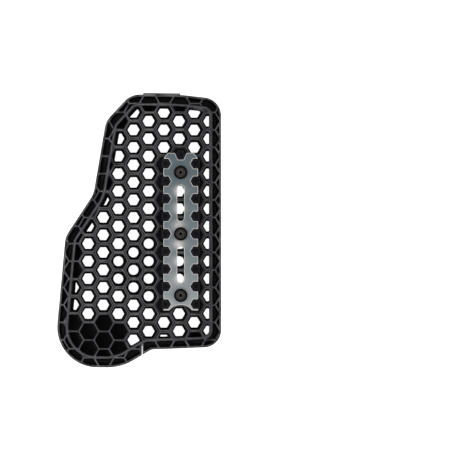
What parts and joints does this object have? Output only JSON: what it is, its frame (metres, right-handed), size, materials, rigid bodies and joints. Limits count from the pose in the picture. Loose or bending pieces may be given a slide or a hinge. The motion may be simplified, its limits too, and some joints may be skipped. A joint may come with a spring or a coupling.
{
  "type": "chest protector insert",
  "caption": "Moulded honeycomb chest protector half with a rim band, hexagonal posts and a notched plate screwed on; it lies flat with its front face up.",
  "frame": {"origin": "middle of the outline, on the surface that the two feet of the back rest on", "axes": "+X across the chest towards the straight long edge, +Y up the body, +Z out of the chest through the front face"},
  "size_m": [0.1499, 0.2509, 0.0221],
  "materials": {
    "shell_black": "satin",
    "plate_clear": "satin",
    "screw_black": "satin"
  },
  "bodies": {
    "root": {"honeycomb_shell": "shell_black", "centre_plate": "plate_clear", "plate_screw_top": "screw_black", "plate_screw_middle": "screw_black", "plate_screw_bottom": "screw_black"}
  },
  "joints": []
}
